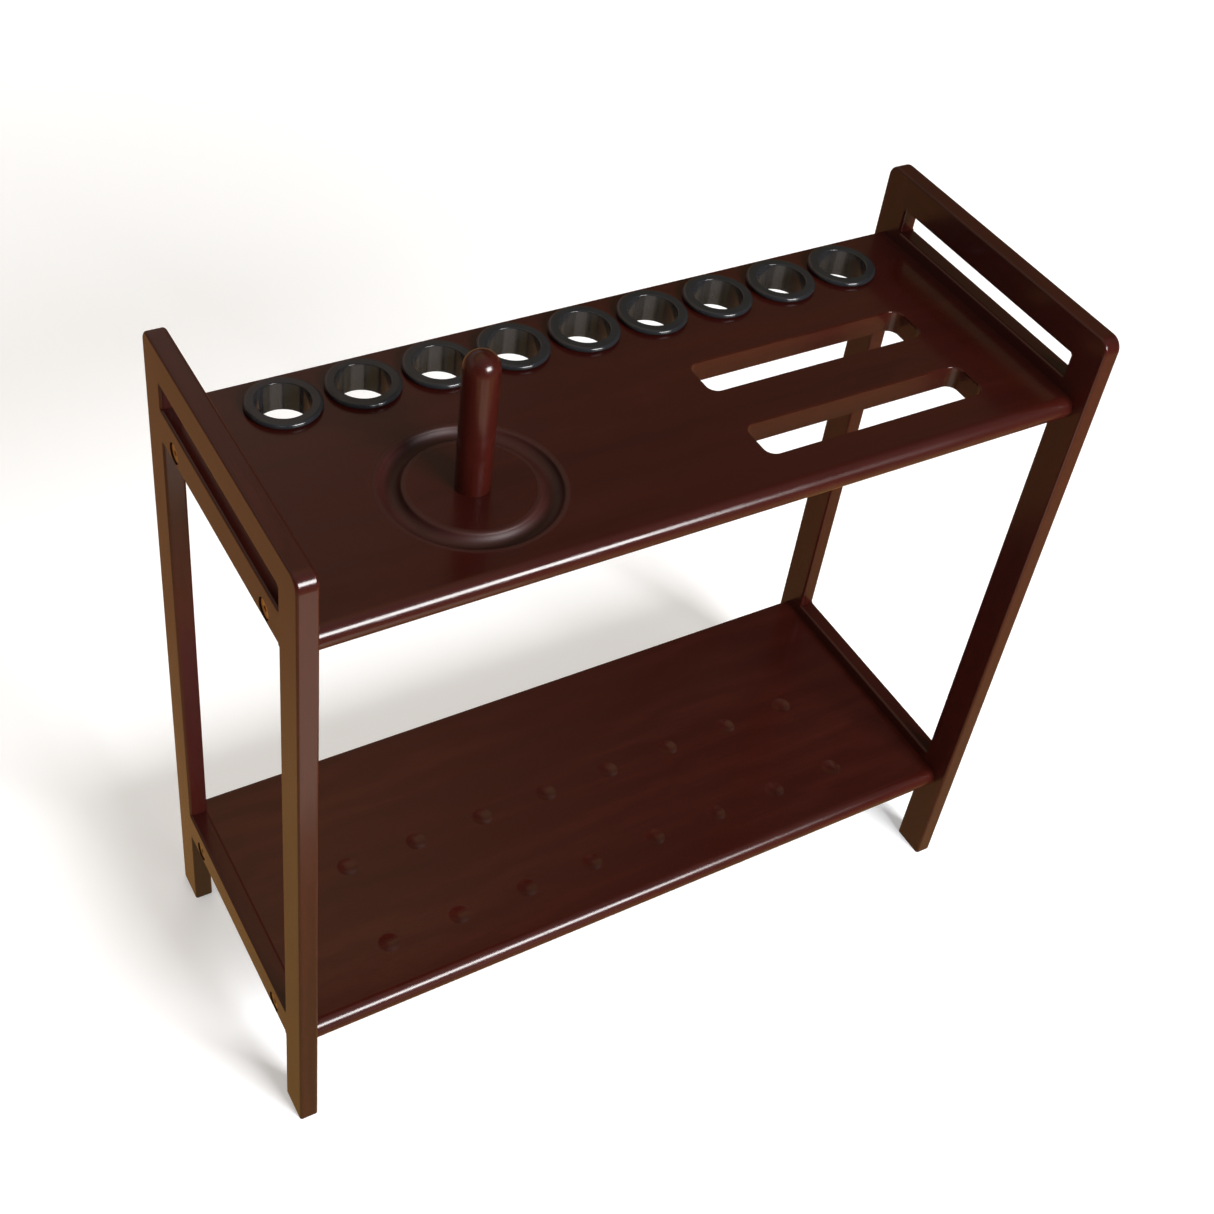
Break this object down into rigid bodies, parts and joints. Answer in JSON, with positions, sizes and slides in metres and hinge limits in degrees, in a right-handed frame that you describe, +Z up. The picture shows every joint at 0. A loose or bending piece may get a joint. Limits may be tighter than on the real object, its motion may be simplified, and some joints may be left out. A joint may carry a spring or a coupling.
{
  "type": "cue rack",
  "caption": "Floor-standing dark wood cue rack: two ladder side frames, a holed top shelf with grommets, rack slots and a chalk peg, and a lower ball shelf.",
  "frame": {"origin": "centre of the bounding box's footprint, on the floor", "axes": "X across the width, right when seen from the front; -Y is the front, where the boards have their round noses; +Z up"},
  "size_m": [0.604, 0.25, 0.6125],
  "materials": {
    "stained_wood": "dark red-brown stain under glossy lacquer",
    "bare_wood": "unfinished beech dowel",
    "black_plastic": "glossy moulded",
    "brass_fitting": "brass-plated",
    "zinc_steel": "zinc-plated"
  },
  "bodies": {
    "root": {"left_front_post": "stained_wood", "left_back_post": "stained_wood", "left_top_rail": "stained_wood", "left_shelf_rail": "stained_wood", "left_lower_rail": "stained_wood", "right_front_post": "stained_wood", "right_back_post": "stained_wood", "right_top_rail": "stained_wood", "right_shelf_rail": "stained_wood", "right_lower_rail": "stained_wood", "top_shelf": "stained_wood", "lower_shelf": "stained_wood", "cue_grommet_1": "black_plastic", "cue_grommet_2": "black_plastic", "cue_grommet_3": "black_plastic", "cue_grommet_4": "black_plastic", "cue_grommet_5": "black_plastic", "cue_grommet_6": "black_plastic", "cue_grommet_7": "black_plastic", "cue_grommet_8": "black_plastic", "cue_grommet_9": "black_plastic", "chalk_peg": "stained_wood", "peg_screw": "zinc_steel", "shelf_bolts": "brass_fitting", "barrel_nuts": "zinc_steel", "left_frame_dowels": "bare_wood", "right_frame_dowels": "bare_wood"}
  },
  "joints": []
}
